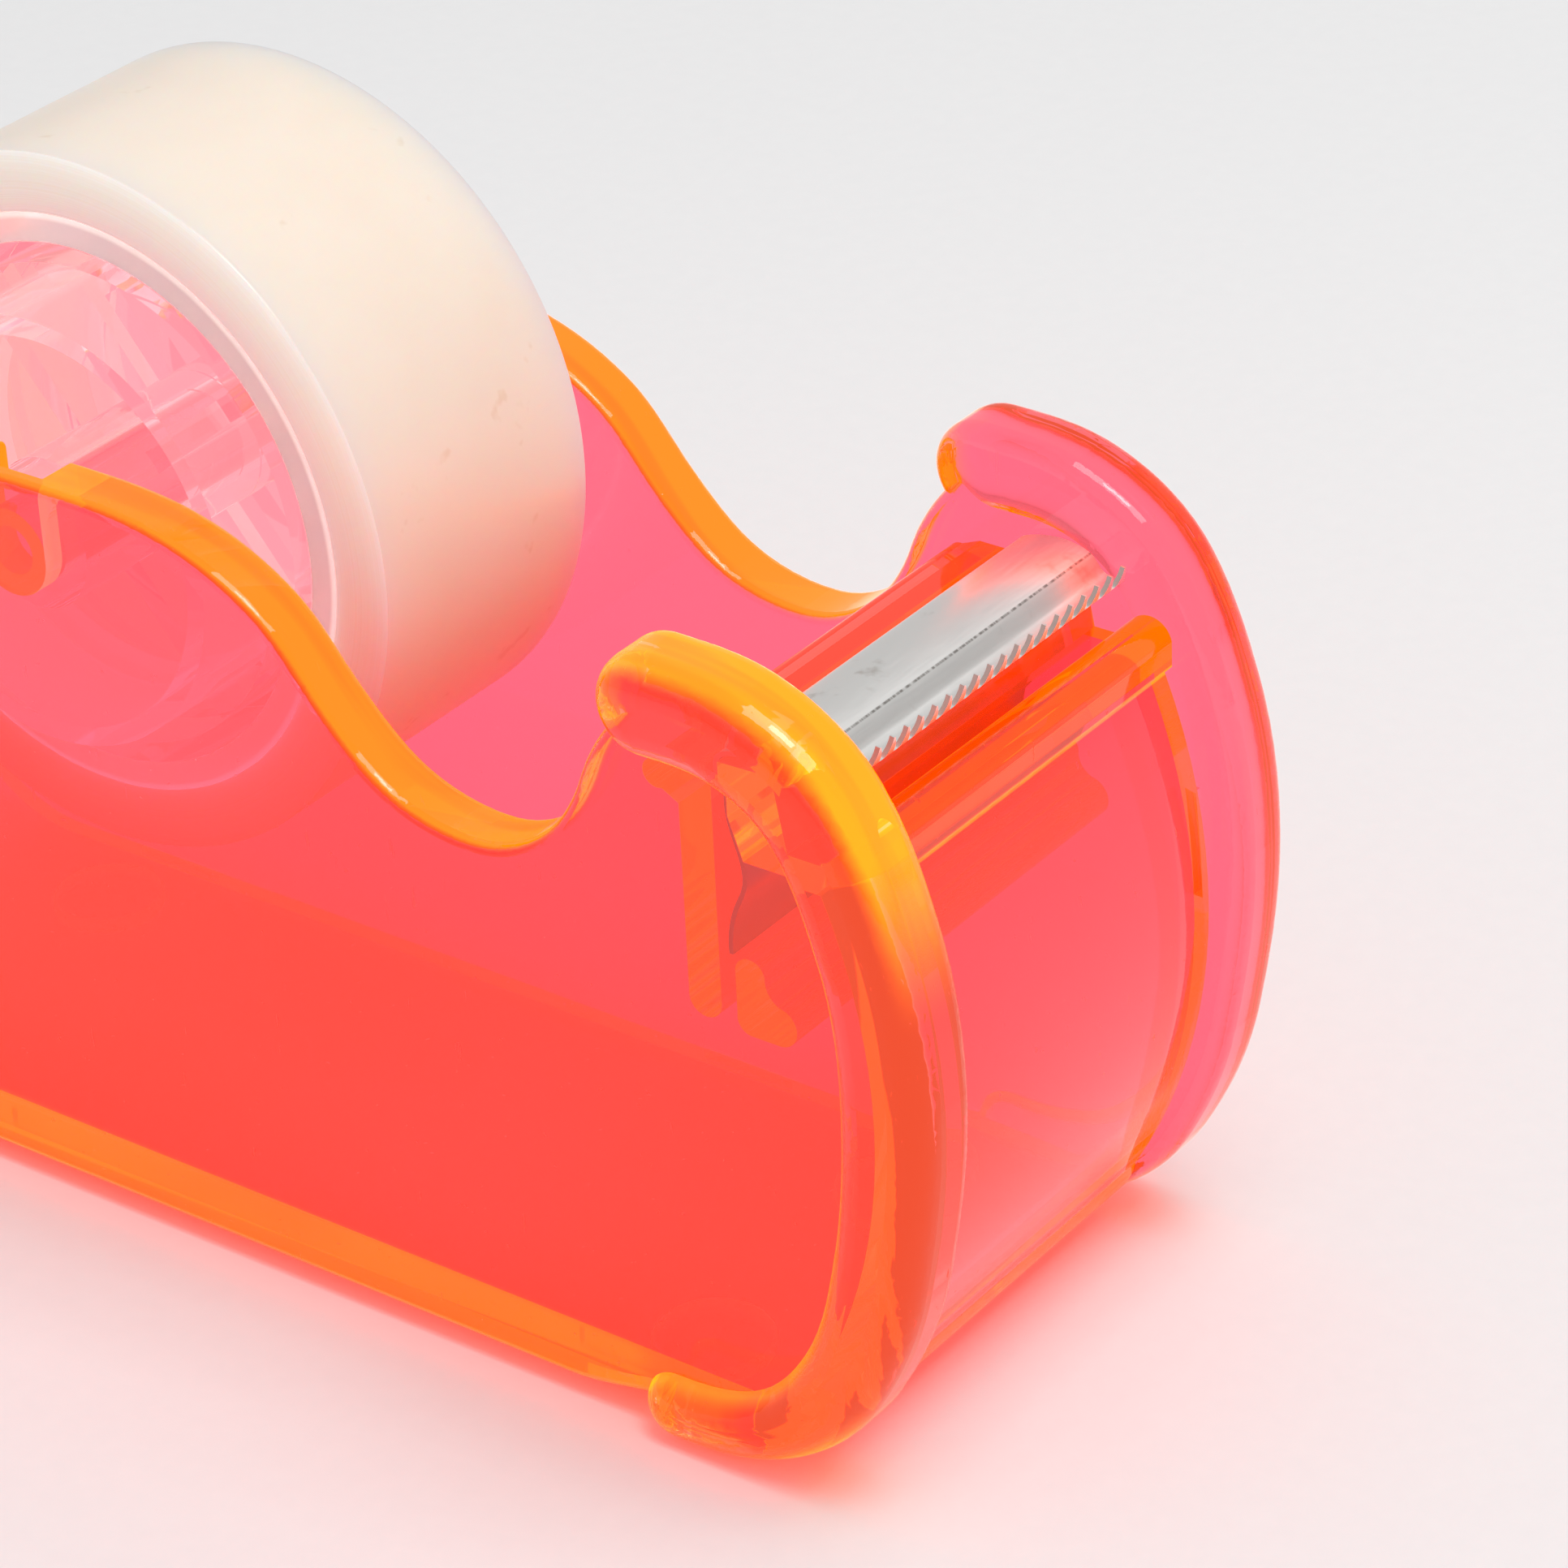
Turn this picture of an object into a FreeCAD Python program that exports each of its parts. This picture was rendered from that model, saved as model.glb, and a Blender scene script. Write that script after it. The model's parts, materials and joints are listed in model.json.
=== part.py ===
import FreeCAD, Part
import math
import os
from FreeCAD import Vector

# Desk tape dispenser for 15 mm tape on a 26 mm core, in millimetres.
# +X points to the cutter, +Y to the right-hand side cover, +Z up.
# The origin is on the table, under the middle of the dispenser.
# Side outlines are given from the reel's axle: x forward, z up.

# Reel
TAPE_WIDTH = 15.0
TAPE_OUTER_R = 17.65
CORE_OUTER_R = 14.55
CORE_INNER_R = 13.1
HUB_CLEARANCE = 0.05
HUB_WALL = 1.0
COLLAR_OUTER_R = 10.7
BUSH_WALL = 1.3
WEB_LOW = 3.4
WEB_THICKNESS = 1.2
RIB_COUNT = 4
RIB_THICKNESS = 1.2
RIB_ANGLE = 39.0

# Axle tube and the slots that it drops into
AXLE_R = 2.15
AXLE_BORE_R = 1.25
AXLE_FIT = 0.07
SLOT_R = 2.25
SLOT_DEPTH = 2.3
AXLE_END_PLAY = 0.2

# Housing
AXLE_HEIGHT = 36.0
GAP_HALF = 11.05
CHEEK = 3.2
WALL = 2.0
EDGE_ROUND = 0.5
REAR_X = -31.3
FRONT_X = 52.4
BASE_Z = -35.0
CREST_Z = 4.2
REAR_WALL_X = -30.7
REAR_CORNER_R = 9.7
REAR_WALL_TOP_Z = -19.0
BEAD_WIDTH = 4.3
BEAD_ROUND = 1.7
BEAD_INNER_ROUND = 0.9
JOINT_GAP = 0.05
FUSE = 0.5

# Tabs that key the side cover to the body
TAB_DEPTH = 0.7
TAB_LENGTH = 5.5
TAB_THICKNESS = 1.2
TAB_CLEARANCE = 0.08

# Cutter
BLADE_THICKNESS = 0.25
TOOTH_COUNT = 20
TOOTH_PITCH = 1.07
TOOTH_ROOT_Z = 0.25
TOOTH_ROOT_R = 0.3
TOOTH_TIP_Z = 1.28
TOOTH_TIP_WIDTH = 0.1

# Feet
FOOT_R = 3.0
FOOT_Y = 7.4
FOOT_FRONT_X = 35.5
FOOT_REAR_X = -16.0
FOOT_ROUND = 0.3

AXLE_X = -(FRONT_X + REAR_X) / 2
Y_AXIS = Vector(0, 1, 0)
AXLE = Vector(AXLE_X, 0, AXLE_HEIGHT)


def at(x, z, y=0.0):
    """A point given from the axle, forward and up, at a place across the width."""
    return Vector(AXLE_X + x, y, AXLE_HEIGHT + z)


def line(start, end):
    return Part.makeLine(at(*start), at(*end))


def arc(start, middle, end):
    return Part.Arc(at(*start), at(*middle), at(*end)).toShape()


def flow(stations):
    """Smooth edges through stations, each a point and the heading there in degrees."""
    edges = []
    for (x1, z1, turn1), (x2, z2, turn2) in zip(stations, stations[1:]):
        start, end = at(x1, z1), at(x2, z2)
        bend = math.radians(abs(turn2 - turn1)) / 4
        stretch = 1 / math.cos(bend) ** 2
        reach = start.distanceToPoint(end) * stretch / 3
        leave = start + heading(turn1) * reach
        arrive = end - heading(turn2) * reach
        bezier = Part.BezierCurve()
        bezier.setPoles([start, leave, arrive, end])
        edges.append(bezier.toShape())
    return edges


def heading(degrees):
    return Vector(math.cos(math.radians(degrees)), 0, math.sin(math.radians(degrees)))


def slab(edges, y_low, y_high):
    """The closed side outline, as a solid from y_low to y_high."""
    face = Part.Face(Part.Wire(edges))
    face.translate(Vector(0, y_low, 0))
    return face.extrude(Vector(0, y_high - y_low, 0))


def ring(outer_r, inner_r, y_low, y_high):
    """A tube round the reel's axis."""
    start = AXLE + Vector(0, y_low, 0)
    outer = Part.makeCylinder(outer_r, y_high - y_low, start, Y_AXIS)
    return outer.cut(Part.makeCylinder(inner_r, y_high - y_low, start, Y_AXIS))


def mirrored(shape):
    return shape.mirror(Vector(0, 0, 0), Y_AXIS)


# The wave along a cheek's top: crest over the axle, valley, then up the horn's back.
TOP_WAVE = [(0.0, CREST_Z, 0), (9.4, 3.8, -11), (15.6, 1.1, -37), (19.2, -2.9, -47),
            (23.0, -6.05, -25), (27.2, -6.95, 0), (31.2, -5.5, 38), (33.8, -1.6, 70),
            (36.0, 2.0, 48), (37.7, 3.1, 0)]
# The middle of the front bead: over the horn, down the front and back underneath.
BEAD_MIDDLE = [(37.7, 3.1, 0), (42.2, 2.7, -18), (46.4, -0.2, -55), (48.9, -6.0, -73),
               (49.9, -13.0, -89), (49.0, -22.5, -101), (46.6, -29.3, -120), (42.7, -33.1, -153),
               (37.4, -34.1, -180)]
# Half the bead's depth at each of those places.
BEAD_HALF_DEPTH = [2.5, 2.5, 2.5, 2.5, 2.5, 2.35, 2.1, 1.9, 1.85]
# The back of a cheek, from the top of its upright edge to the crest.
BACK_EDGE = [(REAR_X, -17.0, 90), (-27.0, -6.2, 54), (-15.0, 2.2, 19), (0.0, CREST_Z, 0)]


def cheek_plate():
    """One cheek without its front bead, lying between y 0 and y CHEEK."""
    corner_r = 10.0
    base = [(37.4, -34.1, -180), (31.0, BASE_Z, -180), (REAR_X + corner_r, BASE_Z, -180),
            (REAR_X, BASE_Z + corner_r, -270), (REAR_X, -17.0, -270)]
    plate = slab(flow(TOP_WAVE) + flow(BEAD_MIDDLE) + flow(base) + flow(BACK_EDGE), 0, CHEEK)
    return round_rim(round_rim(plate, 0, EDGE_ROUND), CHEEK, EDGE_ROUND)


def round_rim(plate, y, radius):
    """Round the edges of a plate's flat face at y."""
    return plate.makeFillet(radius, [edge for edge in plate.Edges if is_flat_at(edge, y)])


def is_flat_at(edge, y):
    box = edge.BoundBox
    return abs(box.YMin - y) < 0.01 and abs(box.YMax - y) < 0.01


def bead():
    """The thick rounded rim over the horn, down the front and under, from y 0."""
    outer, inner = [], []
    for (x, z, turn), half in zip(BEAD_MIDDLE, BEAD_HALF_DEPTH):
        side = heading(turn + 90) * half
        outer.append((x + side.x, z + side.z, turn))
        inner.append((x - side.x, z - side.z, turn - 180))
    inner.reverse()
    foot_end = (BEAD_MIDDLE[-1][0] - BEAD_HALF_DEPTH[-1], BEAD_MIDDLE[-1][1], -270)
    horn_end = (BEAD_MIDDLE[0][0] - BEAD_HALF_DEPTH[0], BEAD_MIDDLE[0][1], -270)
    foot_cap = [outer[-1], foot_end, (inner[0][0], inner[0][1], -360)]
    horn_cap = [(inner[-1][0], inner[-1][1], -180), horn_end, (outer[0][0], outer[0][1], -360)]
    rail = slab(flow(outer) + flow(foot_cap) + flow(inner) + flow(horn_cap), 0, BEAD_WIDTH)
    return round_rim(round_rim(rail, 0, BEAD_INNER_ROUND), BEAD_WIDTH, BEAD_ROUND)


def axle_slot():
    """The slot that takes the axle's end: from over the crest down to the bearing."""
    seat = Part.makeCylinder(SLOT_R, SLOT_DEPTH, AXLE, Y_AXIS)
    corner = AXLE + Vector(-SLOT_R, 0, 0)
    return seat.fuse(Part.makeBox(2 * SLOT_R, SLOT_DEPTH, CREST_Z + 5, corner))


def cheek():
    """A whole right-hand cheek with bead and axle slot, its inner face at GAP_HALF."""
    whole = cheek_plate().fuse(bead()).cut(axle_slot()).removeSplitter()
    whole.translate(Vector(0, GAP_HALF, 0))
    return whole


def channel_outline():
    """Rear wall, floor and front wall as one bent strip, ending in the front lip."""
    inner_x = REAR_WALL_X + WALL
    floor_z = BASE_Z + WALL
    turn = REAR_CORNER_R * (1 - math.sqrt(0.5))
    small_r = REAR_CORNER_R - WALL
    small_turn = small_r * (1 - math.sqrt(0.5))
    top_mid = (REAR_WALL_X + WALL / 2, REAR_WALL_TOP_Z + WALL / 2)
    return [
        arc((inner_x, REAR_WALL_TOP_Z), top_mid, (REAR_WALL_X, REAR_WALL_TOP_Z)),
        line((REAR_WALL_X, REAR_WALL_TOP_Z), (REAR_WALL_X, BASE_Z + REAR_CORNER_R)),
        arc((REAR_WALL_X, BASE_Z + REAR_CORNER_R), (REAR_WALL_X + turn, BASE_Z + turn),
            (REAR_WALL_X + REAR_CORNER_R, BASE_Z)),
        line((REAR_WALL_X + REAR_CORNER_R, BASE_Z), (42.4, BASE_Z)),
        arc((42.4, BASE_Z), (44.7, -34.2), (46.2, -31.8)),
        arc((46.2, -31.8), (50.4, -14.5), (48.1, -4.1)),
        line((48.1, -4.1), (48.5, -3.7)),
        line((48.5, -3.7), (48.5, -2.4)),
        arc((48.5, -2.4), (47.3, -1.4), (46.1, -2.4)),
        line((46.1, -2.4), (46.1, -2.8)),
        line((46.1, -2.8), (44.3, -2.8)),
        line((44.3, -2.8), (43.8, -0.2)),
        line((43.8, -0.2), (43.6, 0.85)),
        line((43.6, 0.85), (40.75, 0.75)),
        line((40.75, 0.75), (40.75, -2.2)),
        line((40.75, -2.2), (41.5, -4.3)),
        line((41.5, -4.3), (46.0, -4.3)),
        arc((46.0, -4.3), (48.35, -14.5), (44.3, -31.0)),
        arc((44.3, -31.0), (43.5, -32.4), (42.0, floor_z)),
        line((42.0, floor_z), (inner_x + small_r, floor_z)),
        arc((inner_x + small_r, floor_z), (inner_x + small_turn, floor_z + small_turn),
            (inner_x, floor_z + small_r)),
        line((inner_x, floor_z + small_r), (inner_x, REAR_WALL_TOP_Z)),
    ]


def rear_bar_outline():
    """The upright plate behind the cutter, with a ledge along its top."""
    return [
        line((39.9, -0.3), (39.9, -12.2)),
        arc((39.9, -12.2), (39.0, -13.1), (38.1, -12.2)),
        line((38.1, -12.2), (38.1, -2.4)),
        line((38.1, -2.4), (37.2, -1.9)),
        arc((37.2, -1.9), (36.2, -1.3), (37.0, -0.5)),
        line((37.0, -0.5), (38.0, -0.1)),
        line((38.0, -0.1), (39.6, -0.1)),
        line((39.6, -0.1), (39.9, -0.3)),
    ]


def hook_bar_outline():
    """The L-shaped bar whose upper arm traps the cutter's leg."""
    return [
        arc((40.75, -10.2), (41.55, -9.3), (42.35, -10.2)),
        arc((42.35, -10.2), (42.6, -10.9), (43.1, -11.3)),
        arc((43.1, -11.3), (44.0, -12.4), (43.0, -13.3)),
        line((43.0, -13.3), (41.4, -13.3)),
        arc((41.4, -13.3), (40.9, -13.0), (40.75, -12.4)),
        line((40.75, -12.4), (40.75, -10.2)),
    ]


def tab_boxes(margin):
    """Four keys on the body's right-hand edge, or their pockets when margin is added."""
    half = TAB_LENGTH / 2 + margin
    thin = TAB_THICKNESS / 2 + margin
    wall_mid = WALL / 2
    places = [(49.0, -12.8, thin, half), (FOOT_REAR_X + 2.0, BASE_Z + wall_mid, half, thin),
              (24.0, BASE_Z + wall_mid, half, thin), (REAR_WALL_X + wall_mid, -22.5, thin, half)]
    depth = TAB_DEPTH + margin
    boxes = []
    for x, z, half_x, half_z in places:
        low = at(x - half_x, z - half_z, GAP_HALF - JOINT_GAP - FUSE)
        boxes.append(Part.makeBox(2 * half_x, depth + FUSE + JOINT_GAP, 2 * half_z, low))
    return boxes


def body():
    """Left cheek, floor, walls, cutter seat and both cross bars, moulded in one piece."""
    whole = mirrored(cheek())
    inside = -GAP_HALF - FUSE
    outside = GAP_HALF - JOINT_GAP
    for outline in (channel_outline(), rear_bar_outline(), hook_bar_outline()):
        whole = whole.fuse(slab(outline, inside, outside))
    for tab in tab_boxes(0):
        whole = whole.fuse(tab)
    return whole.removeSplitter()


def side_cover():
    """The right cheek, with a pocket for each of the body's tabs."""
    cover = cheek()
    for pocket in tab_boxes(TAB_CLEARANCE):
        cover = cover.cut(pocket)
    return cover


def blade_section():
    """The cutter's section: sprung rear leg, top plate, steep step and upturned tooth strip."""
    points = [(40.32, -9.6), (40.36, -8.4), (40.75, -7.0), (41.2, -5.9), (41.2, -4.95),
              (40.8, -3.6), (40.45, -2.2), (40.42, -0.6), (40.55, 0.8), (41.1, 1.08),
              (43.9, 1.2), (44.4, 0.95), (44.85, 0.4), (45.3, 0.15), (45.9, 0.18),
              (46.25, 0.6), (46.45, TOOTH_TIP_Z)]
    spline = Part.BSplineCurve()
    spline.interpolate([at(*point) for point in points])
    first, last = spline.FirstParameter, spline.LastParameter
    samples = 90
    sides = ([], [])
    for i in range(samples + 1):
        place = first + (last - first) * i / samples
        tangent = spline.tangent(place)[0]
        normal = Vector(-tangent.z, 0, tangent.x) * (BLADE_THICKNESS / 2)
        sides[0].append(spline.value(place) + normal)
        sides[1].append(spline.value(place) - normal)
    curves = []
    for side in sides:
        offset = Part.BSplineCurve()
        offset.interpolate(side)
        curves.append(offset.toShape())
    ends = [Part.makeLine(sides[0][i], sides[1][i]) for i in (0, -1)]
    return [curves[0], ends[1], curves[1], ends[0]]


def tooth_gap(y):
    """The scallop between two teeth: a round root under two flaring flanks."""
    behind, length, above = 45.7, 1.6, 0.4
    shoulder = TOOTH_ROOT_Z + TOOTH_ROOT_R
    mouth = (TOOTH_PITCH - TOOTH_TIP_WIDTH) / 2
    flare = (mouth - TOOTH_ROOT_R) / (TOOTH_TIP_Z - shoulder)
    top, mouth_top = TOOTH_TIP_Z + above, mouth + flare * above
    corners = [at(behind, top, y + mouth_top), at(behind, shoulder, y + TOOTH_ROOT_R),
               at(behind, shoulder, y - TOOTH_ROOT_R), at(behind, top, y - mouth_top)]
    edges = [
        Part.makeLine(corners[0], corners[1]),
        Part.Arc(corners[1], at(behind, TOOTH_ROOT_Z, y), corners[2]).toShape(),
        Part.makeLine(corners[2], corners[3]),
        Part.makeLine(corners[3], corners[0]),
    ]
    return Part.Face(Part.Wire(edges)).extrude(Vector(length, 0, 0))


def cutter_blade():
    """The bent steel cutter, with its teeth cut along the upturned edge."""
    half = TOOTH_COUNT * TOOTH_PITCH / 2
    blade = slab(blade_section(), -half, half)
    gaps = [tooth_gap(-half + i * TOOTH_PITCH) for i in range(TOOTH_COUNT + 1)]
    return blade.cut(Part.makeCompound(gaps))


def axle_tube():
    end = GAP_HALF + SLOT_DEPTH - AXLE_END_PLAY
    return ring(AXLE_R, AXLE_BORE_R, -end, end)


def hub_half():
    """The right half of the hub: drum, web, collar, bush and radial ribs."""
    drum_r = CORE_INNER_R - HUB_CLEARANCE
    bush_r = AXLE_R + AXLE_FIT
    collar_end = GAP_HALF - 0.3
    half = ring(drum_r, drum_r - HUB_WALL, JOINT_GAP, TAPE_WIDTH / 2)
    web_high = WEB_LOW + WEB_THICKNESS
    half = half.fuse(ring(drum_r - HUB_WALL / 2, COLLAR_OUTER_R - HUB_WALL, WEB_LOW, web_high))
    half = half.fuse(ring(COLLAR_OUTER_R, COLLAR_OUTER_R - HUB_WALL, WEB_LOW, collar_end))
    half = half.fuse(ring(bush_r + BUSH_WALL, bush_r, JOINT_GAP, collar_end))
    for i in range(RIB_COUNT):
        low = Vector(bush_r + BUSH_WALL / 2, 1.0, -RIB_THICKNESS / 2)
        reach = drum_r - HUB_WALL / 2 - low.x
        rib = Part.makeBox(reach, TAPE_WIDTH / 2 - 2.0, RIB_THICKNESS, low)
        rib.rotate(Vector(0, 0, 0), Y_AXIS, -(RIB_ANGLE + 360.0 * i / RIB_COUNT))
        rib.translate(AXLE)
        half = half.fuse(rib)
    return half.removeSplitter()


def foot(x, side):
    base = at(x, -AXLE_HEIGHT, side * FOOT_Y)
    disc = Part.makeCylinder(FOOT_R, AXLE_HEIGHT + BASE_Z, base)
    low_rim = [edge for edge in disc.Edges if edge.BoundBox.ZMax < 0.01]
    return disc.makeFillet(FOOT_ROUND, low_rim)


def build():
    half = TAPE_WIDTH / 2
    right_half = hub_half()
    return {
        "body_shell": body(),
        "side_cover": side_cover(),
        "cutter_blade": cutter_blade(),
        "axle_tube": axle_tube(),
        "hub_left": mirrored(right_half),
        "hub_right": right_half,
        "tape_core": ring(CORE_OUTER_R, CORE_INNER_R, -half, half),
        "tape_roll": ring(TAPE_OUTER_R, CORE_OUTER_R, -half, half),
        "foot_front_left": foot(FOOT_FRONT_X, -1),
        "foot_front_right": foot(FOOT_FRONT_X, 1),
        "foot_rear_left": foot(FOOT_REAR_X, -1),
        "foot_rear_right": foot(FOOT_REAR_X, 1),
    }


def main():
    os.makedirs("parts", exist_ok=True)
    box = FreeCAD.BoundBox()
    for name, shape in build().items():
        shape.exportStep(f"parts/{name}.step")
        box.add(shape.BoundBox)
        print(f"{name:18s} valid {shape.isValid()} solids {len(shape.Solids)} volume {shape.Volume:.1f}")
    print("whole box", box)


main()
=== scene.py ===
import json
import math

import bmesh
import bpy
from mathutils import Matrix, Vector


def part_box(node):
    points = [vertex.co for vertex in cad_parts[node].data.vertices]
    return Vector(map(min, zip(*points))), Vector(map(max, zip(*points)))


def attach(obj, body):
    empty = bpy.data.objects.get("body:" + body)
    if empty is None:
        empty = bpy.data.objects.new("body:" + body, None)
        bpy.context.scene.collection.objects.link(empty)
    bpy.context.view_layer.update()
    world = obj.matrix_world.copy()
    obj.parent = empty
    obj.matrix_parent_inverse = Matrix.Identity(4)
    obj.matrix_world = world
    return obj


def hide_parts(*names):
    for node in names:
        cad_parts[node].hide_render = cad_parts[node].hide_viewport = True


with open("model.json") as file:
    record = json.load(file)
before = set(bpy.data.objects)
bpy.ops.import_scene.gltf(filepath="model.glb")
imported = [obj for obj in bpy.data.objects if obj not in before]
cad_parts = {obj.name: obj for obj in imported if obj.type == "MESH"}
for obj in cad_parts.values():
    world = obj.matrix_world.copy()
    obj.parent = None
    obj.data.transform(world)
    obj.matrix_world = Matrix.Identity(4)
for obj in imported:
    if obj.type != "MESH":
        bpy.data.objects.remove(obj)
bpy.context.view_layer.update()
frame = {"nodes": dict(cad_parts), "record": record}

# A desk tape dispenser in dyed clear plastic, with a steel cutter and a roll of cream tape.
# Everything is in metres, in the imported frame: +X to the cutter, -Y the near cheek, +Z up.

MM = 0.001

roll_low, roll_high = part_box("tape_roll")
AXLE = (roll_low + roll_high) / 2
TAPE_R = (roll_high.z - roll_low.z) / 2
TAPE_HALF = (roll_high.y - roll_low.y) / 2
core_low, core_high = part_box("tape_core")
CORE_R = (core_high.z - core_low.z) / 2
GAP_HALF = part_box("side_cover")[0].y
JOINT_Y = GAP_HALF - 0.05 * MM
TAB_END_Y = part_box("body_shell")[1].y
CHEEK = 3.2 * MM

# Places on the housing's side, from the axle: forward is x and up is z.
BASE_Z = -35.0 * MM
BEAD_STARTS = (34.5 * MM, 36.5 * MM)
BEAD_CURVE_X = 38.0 * MM
BEAD_CURVE_Z = -15.0 * MM
CUTTER_CREASE_X = 44.34 * MM
FEET = ("foot_front_left", "foot_front_right", "foot_rear_left", "foot_rear_right")

# Gaps between the finished meshes and the pieces that they touch
CORE_CLEARANCE = 0.02 * MM
FOOT_CLEARANCE = 0.015 * MM

# Tape roll
TAPE_FILM = 0.05 * MM
TAPE_RINGS = 22
TAPE_FREE_END = 0.55

# Light through the clear plastics
STYRENE_IOR = 1.49
LIGHT_BOUNCES = 20

# Studio: the key light and its reflection come from in front of the cutter, high up.
DOME_STRENGTH = 0.52
KEY_AZIMUTH = 90.0
KEY_ELEVATION = 70.0


# ---------------------------------------------------------------- shader nodes

def add(tree, kind, sockets=None, **settings):
    """A new shader node with its settings, and its sockets linked or set."""
    made = tree.nodes.new("ShaderNode" + kind)
    for name, value in settings.items():
        setattr(made, name, value)
    for key, value in (sockets or {}).items():
        if isinstance(value, bpy.types.NodeSocket):
            tree.links.new(value, made.inputs[key])
        else:
            made.inputs[key].default_value = value
    return made


def maths(tree, operation, *values):
    """The result of a Math node."""
    return add(tree, "Math", dict(enumerate(values)), operation=operation).outputs[0]


def ramp(tree, value, low, high, start=0.0, end=1.0):
    """A smooth step from start to end, while value goes from low to high."""
    sockets = {"Value": value, "From Min": low, "From Max": high, "To Min": start, "To Max": end}
    made = add(tree, "MapRange", sockets, interpolation_type="SMOOTHSTEP")
    return made.outputs["Result"]


def band(tree, value, low, high, soft):
    """1 while value lies between low and high, falling to 0 over soft on both sides."""
    rise = ramp(tree, value, low - soft, low)
    fall = ramp(tree, value, high, high + soft, 1.0, 0.0)
    return maths(tree, "MULTIPLY", rise, fall)


def noise(tree, vector, scale, detail=3.0, roughness=0.55):
    sockets = {"Vector": vector, "Scale": scale, "Detail": detail, "Roughness": roughness}
    return add(tree, "TexNoise", sockets).outputs["Fac"]


def mix_colour(tree, factor, first, second):
    """Blends two colours, each a socket or four numbers."""
    made = add(tree, "Mix", {"Factor": factor}, data_type="RGBA")
    for socket, value in ((made.inputs[6], first), (made.inputs[7], second)):
        if isinstance(value, bpy.types.NodeSocket):
            tree.links.new(value, socket)
        else:
            socket.default_value = value
    return made.outputs[2]


def split(tree, vector):
    return add(tree, "SeparateXYZ", {0: vector}).outputs


def stretched(tree, vector, x, y, z, turn=(0, 0, 0)):
    """The vector turned and then scaled differently along each axis."""
    sockets = {"Vector": vector, "Rotation": [math.radians(a) for a in turn], "Scale": (x, y, z)}
    return add(tree, "Mapping", sockets).outputs[0]


def bumps(tree, height, depth, normal=None):
    sockets = {"Height": height, "Distance": depth, "Strength": 1.0}
    if normal is not None:
        sockets["Normal"] = normal
    return add(tree, "Bump", sockets).outputs["Normal"]


def rgb(red, green, blue):
    """A linear colour from the usual 0-255 display values."""
    def linear(value):
        share = value / 255
        return share / 12.92 if share <= 0.04045 else ((share + 0.055) / 1.055) ** 2.4
    return (linear(red), linear(green), linear(blue), 1.0)


class Surface:
    """A material with one Principled shader, and the coordinates that its patterns use."""

    def __init__(self, name, **sockets):
        self.material = bpy.data.materials.new(name)
        self.material.use_nodes = True
        self.tree = self.material.node_tree
        self.tree.nodes.clear()
        self.output = add(self.tree, "OutputMaterial")
        coords = add(self.tree, "TexCoord")
        self.place = coords.outputs["Object"]
        centred = add(self.tree, "VectorMath", {0: self.place, 1: AXLE}, operation="SUBTRACT")
        self.from_axle = centred.outputs[0]
        self.normal = coords.outputs["Normal"]
        self.shader = add(self.tree, "BsdfPrincipled", sockets)
        self.tree.links.new(self.shader.outputs[0], self.output.inputs["Surface"])

    def feed(self, socket, value):
        self.tree.links.new(value, self.shader.inputs[socket])

    def radius(self):
        """The distance from the reel's axis."""
        x, _, z = split(self.tree, self.from_axle)
        squares = (maths(self.tree, "MULTIPLY", x, x), maths(self.tree, "MULTIPLY", z, z))
        return maths(self.tree, "SQRT", maths(self.tree, "ADD", *squares))

    def glow(self, colour):
        """Painted glow: gives off light though the part is no lamp, and the renderer doesn't
        sample it as one.
        """
        self.feed("Emission Color", colour)
        self.shader.inputs["Emission Strength"].default_value = 1.0
        self.material.cycles.emission_sampling = "NONE"

    def dye(self, colour, density):
        """Absorbs light along its path inside: density is per metre, for a black colour."""
        sockets = {"Color": colour, "Density": density}
        volume = add(self.tree, "VolumeAbsorption", sockets)
        self.tree.links.new(volume.outputs[0], self.output.inputs["Volume"])


# ------------------------------------------------------------------- materials

def either(tree, *masks):
    """The largest of several masks."""
    result = masks[0]
    for mask in masks[1:]:
        result = maths(tree, "MAXIMUM", result, mask)
    return result


def both(tree, *masks):
    """The product of several masks."""
    result = masks[0]
    for mask in masks[1:]:
        result = maths(tree, "MULTIPLY", result, mask)
    return result


def opposite(tree, mask):
    return maths(tree, "SUBTRACT", 1.0, mask)


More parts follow.
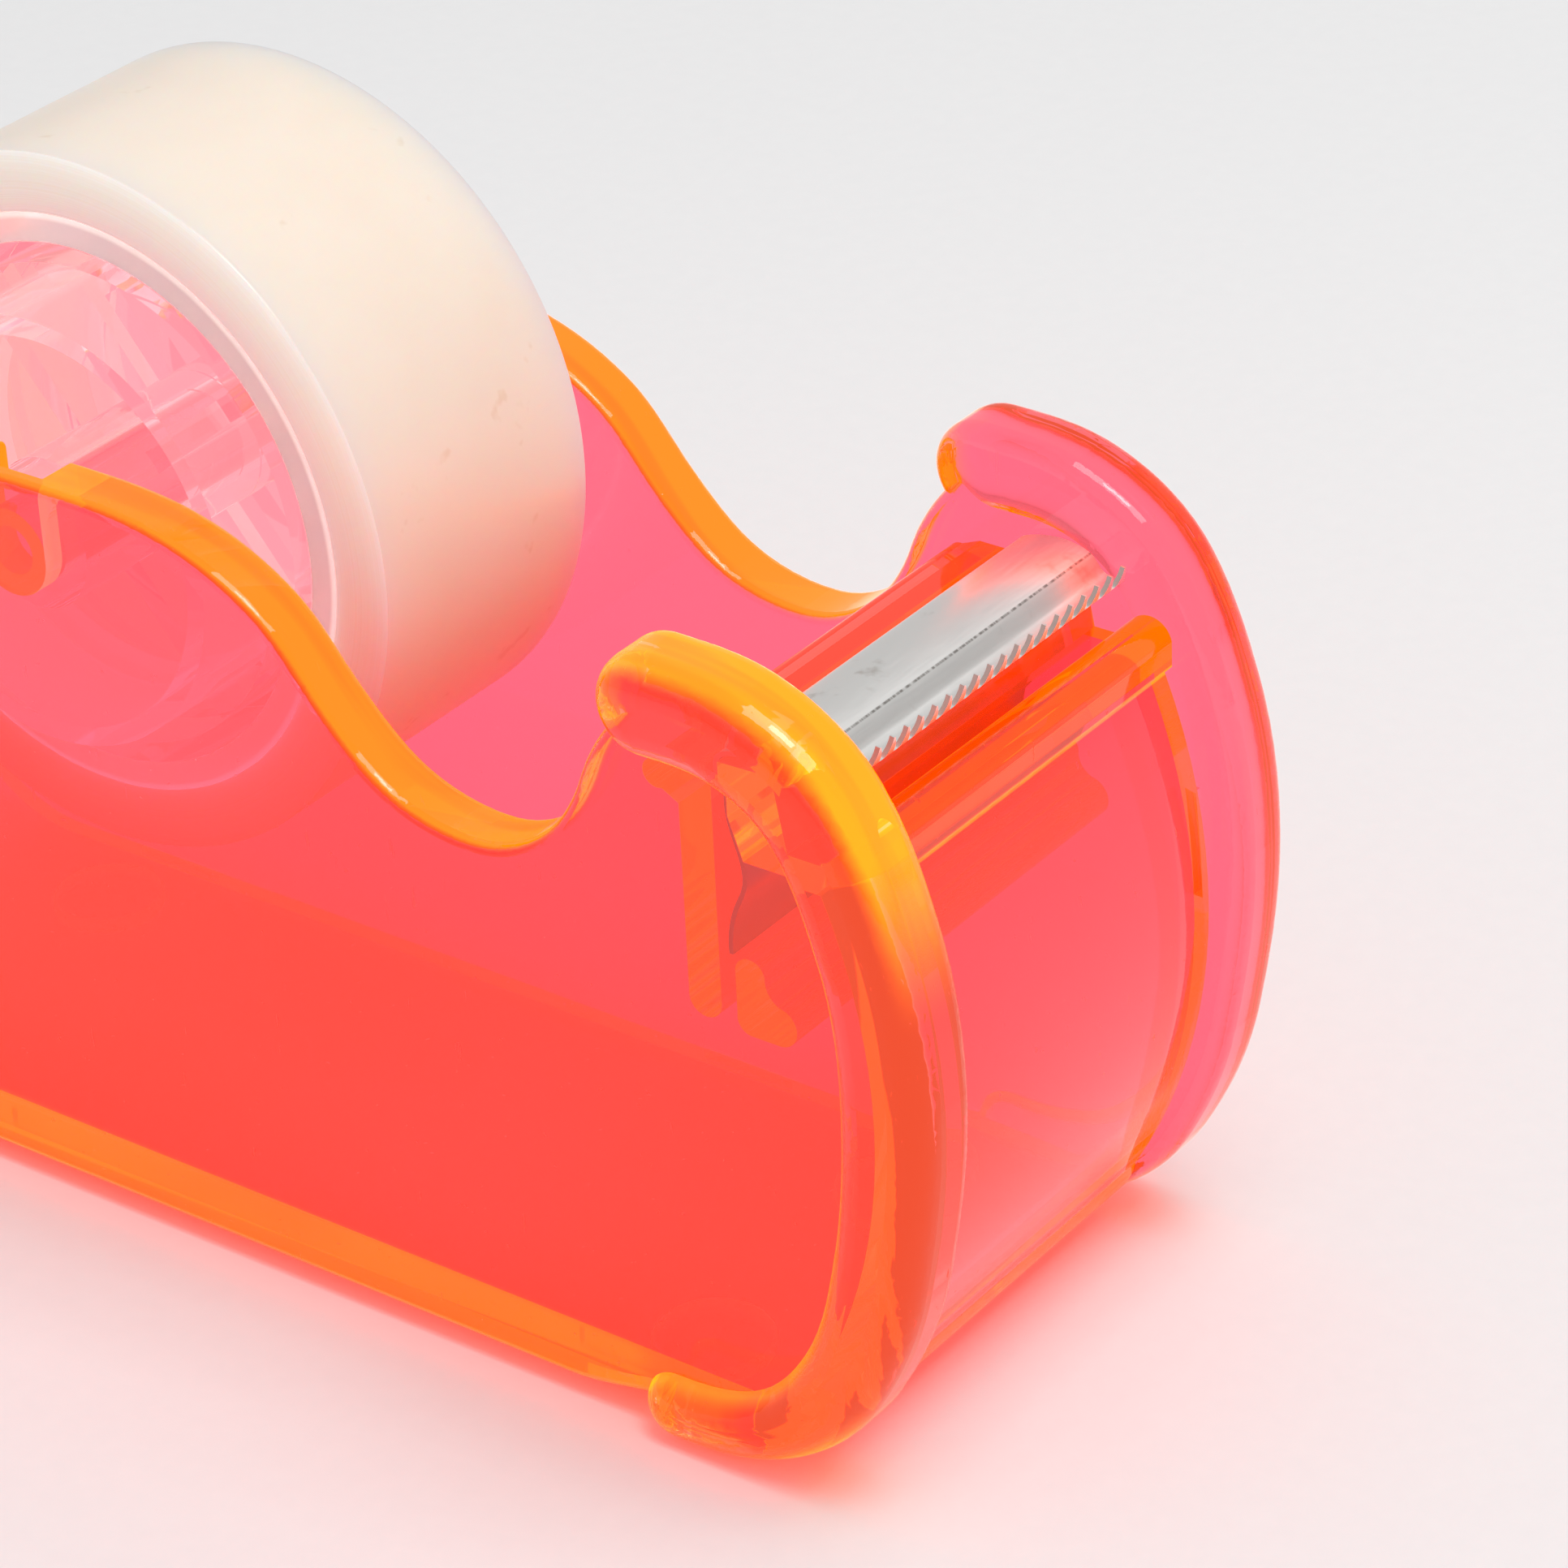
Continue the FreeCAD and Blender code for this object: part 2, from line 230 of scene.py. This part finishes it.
class ShellZones:
    """Masks for the places on the housing, from the position and the surface normal."""

    def __init__(self, surface):
        self.tree = surface.tree
        self.x, self.y, self.z = split(surface.tree, surface.from_axle)
        self.outward = opposite(self.tree, add(self.tree, "NewGeometry").outputs["Backfacing"])
        self.normal_x, normal_y, self.normal_z = split(self.tree, surface.normal)
        self.flat = maths(self.tree, "ABSOLUTE", normal_y)
        self.across = maths(self.tree, "ABSOLUTE", self.y)
        self.in_cheek = maths(self.tree, "GREATER_THAN", self.across, GAP_HALF - 0.02 * MM)
        self.between = opposite(self.tree, self.in_cheek)
        self.near = maths(self.tree, "LESS_THAN", self.y, 0.0)
        self.in_bead = ramp(self.tree, self.x, *BEAD_STARTS)

    def span(self, value, low, high, soft=0.2):
        """1 while a coordinate lies between low and high, all in mm."""
        return band(self.tree, value, low * MM, high * MM, soft * MM)

    def hollow_side(self):
        """1 on faces that look towards the middle of the bead's curve."""
        away_x = maths(self.tree, "SUBTRACT", self.x, BEAD_CURVE_X)
        away_z = maths(self.tree, "SUBTRACT", self.z, BEAD_CURVE_Z)
        away = add(self.tree, "CombineXYZ", {0: away_x, 2: away_z}).outputs[0]
        away = add(self.tree, "VectorMath", {0: away}, operation="NORMALIZE").outputs[0]
        look = add(self.tree, "CombineXYZ", {0: self.normal_x, 2: self.normal_z}).outputs[0]
        inward = add(self.tree, "VectorMath", {0: away, 1: look}, operation="DOT_PRODUCT")
        return ramp(self.tree, inward.outputs["Value"], -0.15, -0.5)

    def bead_glow(self):
        """Painted glow on the hollow side and the ends of the bead, and on the near horn's crown.
        """
        tree = self.tree
        steep = both(tree, ramp(tree, self.flat, 0.9, 0.5), self.in_cheek, self.in_bead)
        ends = both(tree, ramp(tree, self.normal_x, -0.3, -0.7), self.span(self.x, 33.0, 36.6))
        crown = both(tree, self.near, ramp(tree, self.z, -9.0 * MM, 1.0 * MM))
        low = ramp(tree, self.z, -29.0 * MM, -34.0 * MM, 0.0, 0.5)
        upper = ramp(tree, self.z, -14.0 * MM, -6.0 * MM, 0.4, 1.0)
        hollow = both(tree, self.hollow_side(), either(tree, opposite(tree, self.near), upper))
        return both(tree, steep, either(tree, hollow, ends, crown, low))

    def near_bead(self):
        """The near bead's own faces, without the flat cheek that it stands on."""
        proud = maths(self.tree, "GREATER_THAN", self.across, GAP_HALF + CHEEK + 0.1 * MM)
        own = either(self.tree, proud, ramp(self.tree, self.flat, 0.97, 0.6))
        return both(self.tree, self.near, self.in_bead, self.in_cheek, own)

    def in_bars(self):
        """1 on the two cross bars and the cutter's seat."""
        tall = self.span(self.z, -13.6, 0.9)
        return both(self.tree, self.span(self.x, 36.0, 44.0), tall, self.between)

    def rim_glow(self):
        """Painted glow on the edges of the cheeks behind the bead."""
        edge = both(self.tree, ramp(self.tree, self.flat, 0.95, 0.45), self.in_cheek)
        dimmer = ramp(self.tree, self.z, BASE_Z + 1.0 * MM, BASE_Z + 2.0 * MM, 0.4, 1.0)
        return both(self.tree, edge, dimmer, opposite(self.tree, self.in_bead))

    def joint_glow(self):
        """Painted glow on the meeting faces of body and side cover, and on the ends of the tabs.
        """
        soft, under = 0.005 * MM, 0.02 * MM
        joint = band(self.tree, self.y, JOINT_Y - under, JOINT_Y + 0.01 * MM, soft)
        tabs = band(self.tree, self.y, TAB_END_Y - under, TAB_END_Y + 0.1 * MM, soft)
        facing = ramp(self.tree, self.flat, 0.5, 0.9)
        return both(self.tree, facing, either(self.tree, joint, tabs))

    def base_glow(self):
        """Painted glow on the bottom strip of each outer face."""
        outside = maths(self.tree, "GREATER_THAN", self.across, GAP_HALF + CHEEK - 0.2 * MM)
        strip = band(self.tree, self.z, BASE_Z - 0.2 * MM, BASE_Z + 3.1 * MM, 0.6 * MM)
        behind = opposite(self.tree, self.in_bead)
        return both(self.tree, strip, outside, self.outward, behind)

    def lip_glow(self):
        """Painted glow in two thin lines on the front lip: its trough edge and its lower front
        edge.
        """
        top = both(self.tree, self.span(self.x, 46.0, 46.5, 0.12), self.span(self.z, -2.7, -1.4))
        low = both(self.tree, self.span(self.x, 47.9, 48.7), self.span(self.z, -4.15, -3.65, 0.1))
        face = both(self.tree, self.span(self.x, 46.7, 48.7), self.span(self.z, -3.6, -1.2), 0.05)
        return both(self.tree, either(self.tree, top, low, face), self.between)

    def under_glow(self):
        """The bottom edges of the cheeks and front wall, whose painted red glow reddens the table
        next to them.
        """
        low = ramp(self.tree, self.z, BASE_Z + 0.9 * MM, BASE_Z + 0.4 * MM)
        front = maths(self.tree, "GREATER_THAN", self.x, 41.5 * MM)
        place = both(self.tree, low, either(self.tree, self.in_cheek, front))
        return both(self.tree, place, ramp(self.tree, self.normal_z, -0.05, -0.4))


# What one cheek lets through, a painted warmer tint, and the painted glows: emission placed by
# position on faces, rims, near bead and underside
DYE = (1.0, 0.17, 0.34, 1.0)
PAINTED_WARM_TINT = (1.0, 0.15, 0.08, 1.0)
FACE_GLOW = (0.13, 0.018, 0.0, 1.0)
RIM_GLOW = (1.6, 0.25, 0.0, 1.0)
CROWN_GLOW = (1.7, 0.42, 0.0, 1.0)
UNDER_GLOW = (1.5, 0.05, 0.01, 1.0)


def shell_plastic():
    """Dyed clear plastic: coral through its faces, with a painted orange glow placed at its rims,
    bead, joint, lip and base, and a painted red glow underneath.
    """
    surface = Surface("shell_plastic", **{
        "Base Color": DYE, "Roughness": 0.02, "IOR": STYRENE_IOR, "Transmission Weight": 1.0})
    tree = surface.tree
    zones = ShellZones(surface)
    in_bars = zones.in_bars()
    near_bead = zones.near_bead()
    # Painted glow, placed by position: rims, joint, base, bead, lip and the bars' inside faces;
    # the near bead gets a brighter painted orange crown and the underside a painted red.
    base = maths(tree, "MULTIPLY", zones.base_glow(), 0.25)
    joint = both(tree, zones.joint_glow(), maths(tree, "MULTIPLY_ADD", in_bars, -0.8, 1.0))
    rims = either(tree, zones.rim_glow(), joint, base)
    inside_bars = both(tree, in_bars, opposite(tree, zones.outward), 0.05)
    places = either(tree, rims, zones.bead_glow(), zones.lip_glow(), inside_bars)
    streaks = noise(tree, stretched(tree, surface.place, 60, 700, 60), 1.0, 2.0)
    places = both(tree, places, ramp(tree, streaks, 0.3, 0.7, 0.75, 1.15))
    colour = mix_colour(tree, places, FACE_GLOW, mix_colour(tree, near_bead, RIM_GLOW, CROWN_GLOW))
    surface.glow(mix_colour(tree, zones.under_glow(), colour, UNDER_GLOW))
    # A warmer painted tint where the glow is painted: the rims, the near bead and the bars.
    painted_warm_places = either(tree, rims, maths(tree, "MULTIPLY", near_bead, 0.8), in_bars)
    surface.feed("Base Color", mix_colour(tree, painted_warm_places, DYE, PAINTED_WARM_TINT))
    weather(surface, opposite(tree, in_bars))
    surface.dye((0.99, 0.93, 0.82, 1.0), 150.0)
    return surface.material


def weather(surface, where):
    """A moulded face's faint swell, with hairline scratches and specks of dust."""
    tree = surface.tree
    swell = both(tree, noise(tree, surface.place, 90.0, 1.0), where)
    lines = stretched(tree, surface.place, 1800, 1800, 250, (20, 35, 0))
    scratch = ramp(tree, noise(tree, lines, 1.0, 2.0), 0.73, 0.77)
    speck = ramp(tree, noise(tree, surface.place, 1500.0, 2.0, 0.7), 0.72, 0.78)
    wear = both(tree, either(tree, scratch, speck), where)
    soft = bumps(tree, swell, 0.01 * MM)
    surface.feed("Normal", bumps(tree, wear, 0.002 * MM, soft))
    surface.feed("Roughness", maths(tree, "MULTIPLY_ADD", wear, 0.4, 0.02))


def axle_plastic():
    """Deep orange tube with a painted orange glow on its end rings and a faint one along it."""
    surface = Surface("axle_plastic", **{
        "Base Color": (1, 1, 1, 1), "Roughness": 0.05, "IOR": STYRENE_IOR,
        "Transmission Weight": 1.0})
    tree = surface.tree
    _, normal_y, _ = split(tree, surface.normal)
    end = ramp(tree, maths(tree, "ABSOLUTE", normal_y), 0.5, 0.9)
    surface.glow(mix_colour(tree, end, (0.2, 0.01, 0.002, 1), (2.4, 0.32, 0.0, 1)))
    swell = noise(tree, surface.place, 90.0, 1.0)
    surface.feed("Normal", bumps(tree, swell, 0.01 * MM))
    surface.dye((0.985, 0.10, 0.42, 1.0), 520.0)
    return surface.material


def hub_plastic():
    """Water-clear styrene, faintly pink: a painted tint and glow stand in for the light inside the
    housing.
    """
    surface = Surface("hub_plastic", **{
        "Base Color": (1.0, 0.76, 0.79, 1), "Roughness": 0.05, "IOR": 1.08,
        "Transmission Weight": 1.0})
    tree = surface.tree
    flow = noise(tree, stretched(tree, surface.place, 150, 40, 150), 1.0, 1.0)
    surface.feed("Normal", bumps(tree, flow, 0.01 * MM))
    surface.feed("Roughness", maths(tree, "MULTIPLY_ADD", flow, 0.06, 0.02))
    # Painted highlight: a brighter glow on the band round the collar.
    collar = band(tree, surface.radius(), 9.6 * MM, 10.8 * MM, 0.1 * MM)
    surface.glow(mix_colour(tree, collar, (0.10, 0.045, 0.045, 1), (0.15, 0.08, 0.08, 1)))
    return surface.material


def core_plastic():
    """Milky core with a faint painted glow; a whiter colour and a white painted glow at its outer
    edge make a white line beside the tape.
    """
    surface = Surface("core_plastic", **{
        "Base Color": (0.93, 0.86, 0.88, 1), "Roughness": 0.25, "IOR": 1.3,
        "Transmission Weight": 0.7, "Subsurface Weight": 0.3})
    surface.shader.inputs["Subsurface Radius"].default_value = (0.004, 0.003, 0.003)
    tree = surface.tree
    edge = ramp(tree, surface.radius(), CORE_R - 0.4 * MM, CORE_R - 0.12 * MM)
    surface.feed("Base Color", mix_colour(tree, edge, (0.95, 0.86, 0.88, 1), (1, 1, 1, 1)))
    surface.glow(mix_colour(tree, edge, (0.04, 0.02, 0.02, 1), (0.24, 0.22, 0.21, 1)))
    grain = noise(tree, surface.place, 3000.0, 2.0)
    surface.feed("Normal", bumps(tree, grain, 0.004 * MM))
    return surface.material


def tape_film():
    """Cream satin film: smooth round its face, faintly ringed where the turns' edges stack."""
    surface = Surface("tape_film", **{
        "Base Color": rgb(240, 230, 214), "Roughness": 0.32, "IOR": 1.47,
        "Subsurface Weight": 1.0, "Subsurface Scale": 0.012, "Coat Weight": 0.15,
        "Coat Roughness": 0.2})
    surface.shader.inputs["Subsurface Radius"].default_value = (1.0, 0.6, 0.4)
    tree = surface.tree
    _, normal_y, _ = split(tree, surface.normal)
    side = ramp(tree, maths(tree, "ABSOLUTE", normal_y), 0.4, 0.8)
    line = add(tree, "CombineXYZ", {0: surface.radius()}).outputs[0]
    turns = noise(tree, line, 9000.0, 2.0, 0.6)
    film = mix_colour(tree, ramp(tree, turns, 0.3, 0.7), rgb(251, 242, 226), rgb(254, 248, 236))
    cloud = noise(tree, surface.place, 120.0, 3.0)
    face = mix_colour(tree, cloud, rgb(226, 216, 202), rgb(235, 227, 216))
    smudge = ramp(tree, noise(tree, surface.place, 380.0, 3.0, 0.6), 0.66, 0.74)
    face = mix_colour(tree, maths(tree, "MULTIPLY", smudge, 0.5), face, rgb(214, 196, 176))
    surface.feed("Base Color", mix_colour(tree, side, face, film))
    crinkle = noise(tree, stretched(tree, surface.place, 60, 500, 60), 1.0, 2.0)
    soft = bumps(tree, crinkle, 0.01 * MM)
    surface.feed("Normal", bumps(tree, both(tree, turns, side), 0.004 * MM, soft))
    surface.feed("Roughness", maths(tree, "MULTIPLY_ADD", side, 0.25, 0.28))
    return surface.material


def cutter_steel():
    """Satin strip steel: rolled grain, smudges, a darker tone towards the rear of its near end and
    sheared tooth flanks, with painted shade: a dashed dark line in the crease, a darker strip on
    the bend in front of it and dark red shade and reflection below the plate.
    """
    surface = Surface("cutter_steel", **{
        "Base Color": (0.8, 0.8, 0.78, 1), "Metallic": 1.0, "Roughness": 0.3})
    tree = surface.tree
    x, y, z = split(tree, surface.from_axle)
    _, normal_y, _ = split(tree, surface.normal)
    grain = noise(tree, stretched(tree, surface.place, 9000, 500, 9000), 1.0, 3.0)
    smudge = ramp(tree, noise(tree, surface.place, 260.0, 4.0, 0.6), 0.60, 0.74)
    # Smudges at random, and a darker tone towards the rear of the near end.
    rear, near = ramp(tree, x, 42.2 * MM, 41.0 * MM), ramp(tree, y, -6.5 * MM, -10.0 * MM)
    smudges_and_corner = either(tree, smudge, both(tree, rear, near, 0.7))
    steel_tone = mix_colour(tree, smudges_and_corner, (0.97, 0.965, 0.94, 1), (0.60, 0.55, 0.50, 1))
    along = noise(tree, stretched(tree, surface.place, 1, 3500, 1), 1.0, 2.0)
    # Painted shade: a dashed dark line along the crease, and a darker strip on the steep bend in
    # front of it.
    dashes = ramp(tree, along, 0.36, 0.60, 0.15, 0.85)
    reach = 0.02 * MM
    line = band(tree, x, CUTTER_CREASE_X - reach, CUTTER_CREASE_X + reach, 0.06 * MM)
    crease_shade = both(tree, line, dashes)
    strip = both(tree, band(tree, x, 44.4 * MM, 45.0 * MM, 0.15 * MM), 0.35)
    tone_with_painted_shade = mix_colour(tree, strip, steel_tone, (0.42, 0.40, 0.38, 1))
    tone_with_painted_shade = mix_colour(tree, crease_shade, tone_with_painted_shade, (0.22, 0.20, 0.18, 1))
    # Painted dark red shade and reflection on the parts below the plate.
    below_plate_shade = ramp(tree, z, 0.2 * MM, -0.8 * MM)
    tone_with_painted_shade = mix_colour(tree, below_plate_shade, tone_with_painted_shade, (0.34, 0.28, 0.28, 1))
    flank = ramp(tree, maths(tree, "ABSOLUTE", normal_y), 0.4, 0.7)
    flank = both(tree, flank, maths(tree, "GREATER_THAN", x, 45.0 * MM))
    surface.feed("Base Color", mix_colour(tree, flank, tone_with_painted_shade, (0.62, 0.58, 0.55, 1)))
    shine = maths(tree, "MULTIPLY_ADD", grain, 0.16, 0.30)
    surface.feed("Roughness", maths(tree, "ADD", shine, maths(tree, "MULTIPLY", flank, 0.2)))
    surface.feed("Normal", bumps(tree, grain, 0.003 * MM))
    return surface.material


def foot_rubber():
    """Soft clear bumper feet, slightly hazy, with a painted orange glow that is brightest on their
    walls.
    """
    surface = Surface("foot_rubber", **{
        "Base Color": (1.0, 0.88, 0.86, 1), "Roughness": 0.3, "IOR": 1.2,
        "Transmission Weight": 0.9})
    tree = surface.tree
    _, _, normal_z = split(tree, surface.normal)
    wall = ramp(tree, maths(tree, "ABSOLUTE", normal_z), 0.9, 0.5)
    surface.glow(mix_colour(tree, wall, (0.4, 0.025, 0.01, 1), (1.5, 0.16, 0.0, 1)))
    grain = noise(tree, surface.place, 2500.0, 3.0)
    surface.feed("Normal", bumps(tree, grain, 0.02 * MM))
    surface.feed("Roughness", maths(tree, "MULTIPLY_ADD", grain, 0.2, 0.2))
    return surface.material


def table_top():
    """A plain pale sheet with the faintest grain."""
    surface = Surface("table_top", **{"Base Color": (0.8, 0.8, 0.8, 1), "Roughness": 0.85})
    tree = surface.tree
    grain = noise(tree, surface.place, 700.0, 3.0)
    tone = mix_colour(tree, grain, (0.80, 0.80, 0.805, 1), (0.83, 0.83, 0.83, 1))
    surface.feed("Base Color", tone)
    surface.feed("Normal", bumps(tree, grain, 0.03 * MM))
    return surface.material


# ---------------------------------------------------------------------- pieces

def new_piece(name, mesh, body, material, replaced):
    """A finished mesh as a piece that rides on a body and stands for a CAD node."""
    piece = bpy.data.objects.new(name, mesh)
    bpy.context.scene.collection.objects.link(piece)
    mesh.materials.clear()
    mesh.materials.append(material)
    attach(piece, body)
    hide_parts(replaced)


def lathe(name, profile, centre, axis, segments, reshape=None):
    """A mesh turned round an axis: profile is a closed loop of (radius, place along the axis)."""
    shape = bmesh.new()
    rows = []
    for i in range(segments):
        turn = i / segments
        one, two = math.cos(2 * math.pi * turn), math.sin(2 * math.pi * turn)
        row = []
        for radius, along in profile:
            r = reshape(radius, turn) if reshape else radius
            offset = (r * one, along, r * two) if axis == "Y" else (r * one, r * two, along)
            row.append(shape.verts.new(centre + Vector(offset)))
        rows.append(row)
    for row, after in zip(rows, rows[1:] + rows[:1]):
        for k in range(len(profile)):
            shape.faces.new((row[k - 1], row[k], after[k], after[k - 1]))
    bmesh.ops.recalc_face_normals(shape, faces=shape.faces)
    mesh = bpy.data.meshes.new(name)
    shape.to_mesh(mesh)
    shape.free()
    mesh.shade_smooth()
    mesh.set_sharp_from_angle(angle=math.radians(35))
    return mesh


def wound_tape(material):
    """The wound tape: the turns' edges lie a little uneven, and the free end makes a step."""
    inner, outer, half = CORE_R + CORE_CLEARANCE, TAPE_R, TAPE_HALF
    edge_round, face_steps = 0.02 * MM, 8
    side = []
    for i in range(TAPE_RINGS + 1):
        radius = inner + (outer - 0.08 * MM - inner) * i / TAPE_RINGS
        uneven = 0.012 * MM * (1 + math.sin(2.6 * i) * math.cos(1.7 * i))
        side.append((radius, half - uneven))
    face = [(outer - edge_round, half - TAPE_FILM)]
    face += [(outer, half * (0.98 - 1.96 * i / face_steps)) for i in range(face_steps + 1)]
    face.append((outer - edge_round, TAPE_FILM - half))
    profile = side + face + [(radius, -along) for radius, along in reversed(side)]

    def spiral(radius, turn):
        """The outermost turn ends low at the back."""
        if radius < outer - TAPE_FILM:
            return radius
        return radius - TAPE_FILM * ((turn - TAPE_FREE_END) % 1.0)

    mesh = lathe("tape_roll_wound", profile, AXLE, "Y", 360, spiral)
    new_piece("tape_roll_wound", mesh, "reel", material, "tape_roll")


def bumper_feet(material):
    """Soft feet with a rolled edge, each just clear of the base that it sticks to."""
    for name in FEET:
        low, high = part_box(name)
        radius = (high.x - low.x) / 2
        height = high.z - low.z - FOOT_CLEARANCE
        centre = Vector(((low.x + high.x) / 2, (low.y + high.y) / 2, low.z))
        roll, hole, bends = 0.12 * radius, 0.02 * MM, 6
        profile = [(hole, 0.0), (radius * 0.84, 0.0)]
        for i in range(bends + 1):
            angle = math.pi / 2 * i / bends
            inset, rise = roll * (1 - math.sin(angle)), roll * (1 - math.cos(angle))
            profile.append((radius - inset, rise))
        profile += [(radius, height * 0.8), (radius * 0.96, height), (hole, height)]
        mesh = lathe(name + "_bumper", profile, centre, "Z", 96)
        new_piece(name + "_bumper", mesh, "dispenser", material, name)


def dress(materials):
    """Gives each CAD node the material of its slot."""
    slots = {part["node"]: part["material_slot"] for part in frame["record"]["subparts"]}
    for name, node in frame["nodes"].items():
        node.data.materials.clear()
        node.data.materials.append(materials[slots[name]])


# ----------------------------------------------------------------------- stage

def aim(thing, place, target, roll=0.0):
    """Puts a light or camera at place, looking at target."""
    thing.location = place
    turn = (Vector(target) - Vector(place)).to_track_quat("-Z", "Y").to_matrix().to_4x4()
    thing.rotation_euler = (turn @ Matrix.Rotation(roll, 4, "Z")).to_euler()


def from_target(target, azimuth, elevation, distance):
    """A place round the target: azimuth 0 is in front of the near cheek."""
    a, e = math.radians(azimuth), math.radians(elevation)
    back = Vector((math.sin(a) * math.cos(e), -math.cos(a) * math.cos(e), math.sin(e)))
    return Vector(target) + back * distance


def make_camera():
    """A long lens on the cutter's end of the dispenser, from above its near front corner."""
    azimuth, elevation, roll = 37.338, 30.158, -2.7226
    distance = 257.448 * MM
    data = bpy.data.cameras.new("camera")
    data.lens = 128.31
    data.sensor_width = 36.0
    data.clip_start = 0.01
    camera = bpy.data.objects.new("camera", data)
    bpy.context.scene.collection.objects.link(camera)
    target = Vector((23.778, 0.0, 27.179)) * MM
    aim(camera, from_target(target, azimuth, elevation, distance), target, math.radians(roll))
    bpy.context.scene.camera = camera


def softbox(name, distance, size, power):
    """A square lamp on the key light's side, facing the object."""
    data = bpy.data.lights.new(name, "AREA")
    data.shape = "RECTANGLE"
    data.size = size
    data.size_y = size
    data.energy = power
    light = bpy.data.objects.new(name, data)
    bpy.context.scene.collection.objects.link(light)
    target = (0.0, 0.0, 0.03)
    aim(light, from_target(target, KEY_AZIMUTH, KEY_ELEVATION, distance), target)


def make_stage(material):
    """A plain floor under a white dome, with a large soft key light and a small brighter one."""
    mesh = bpy.data.meshes.new("floor")
    shape = bmesh.new()
    bmesh.ops.create_grid(shape, x_segments=8, y_segments=8, size=3.0)
    shape.to_mesh(mesh)
    shape.free()
    floor = bpy.data.objects.new("floor", mesh)
    mesh.materials.append(material)
    bpy.context.scene.collection.objects.link(floor)
    world = bpy.data.worlds.new("studio")
    world.use_nodes = True
    backdrop = world.node_tree.nodes["Background"]
    backdrop.inputs["Color"].default_value = (1.0, 1.0, 1.0, 1.0)
    backdrop.inputs["Strength"].default_value = DOME_STRENGTH
    bpy.context.scene.world = world
    softbox("key", 0.9, 0.56, 4.1)
    softbox("glint", 0.85, 0.20, 1.1)


def main():
    scene = bpy.context.scene
    scene.view_settings.view_transform = "Standard"
    scene.cycles.max_bounces = LIGHT_BOUNCES
    scene.cycles.transmission_bounces = LIGHT_BOUNCES
    materials = {
        "shell_plastic": shell_plastic(),
        "axle_plastic": axle_plastic(),
        "hub_plastic": hub_plastic(),
        "core_plastic": core_plastic(),
        "tape_film": tape_film(),
        "cutter_steel": cutter_steel(),
        "foot_rubber": foot_rubber(),
    }
    dress(materials)
    wound_tape(materials["tape_film"])
    bumper_feet(materials["foot_rubber"])
    make_stage(table_top())
    make_camera()


main()
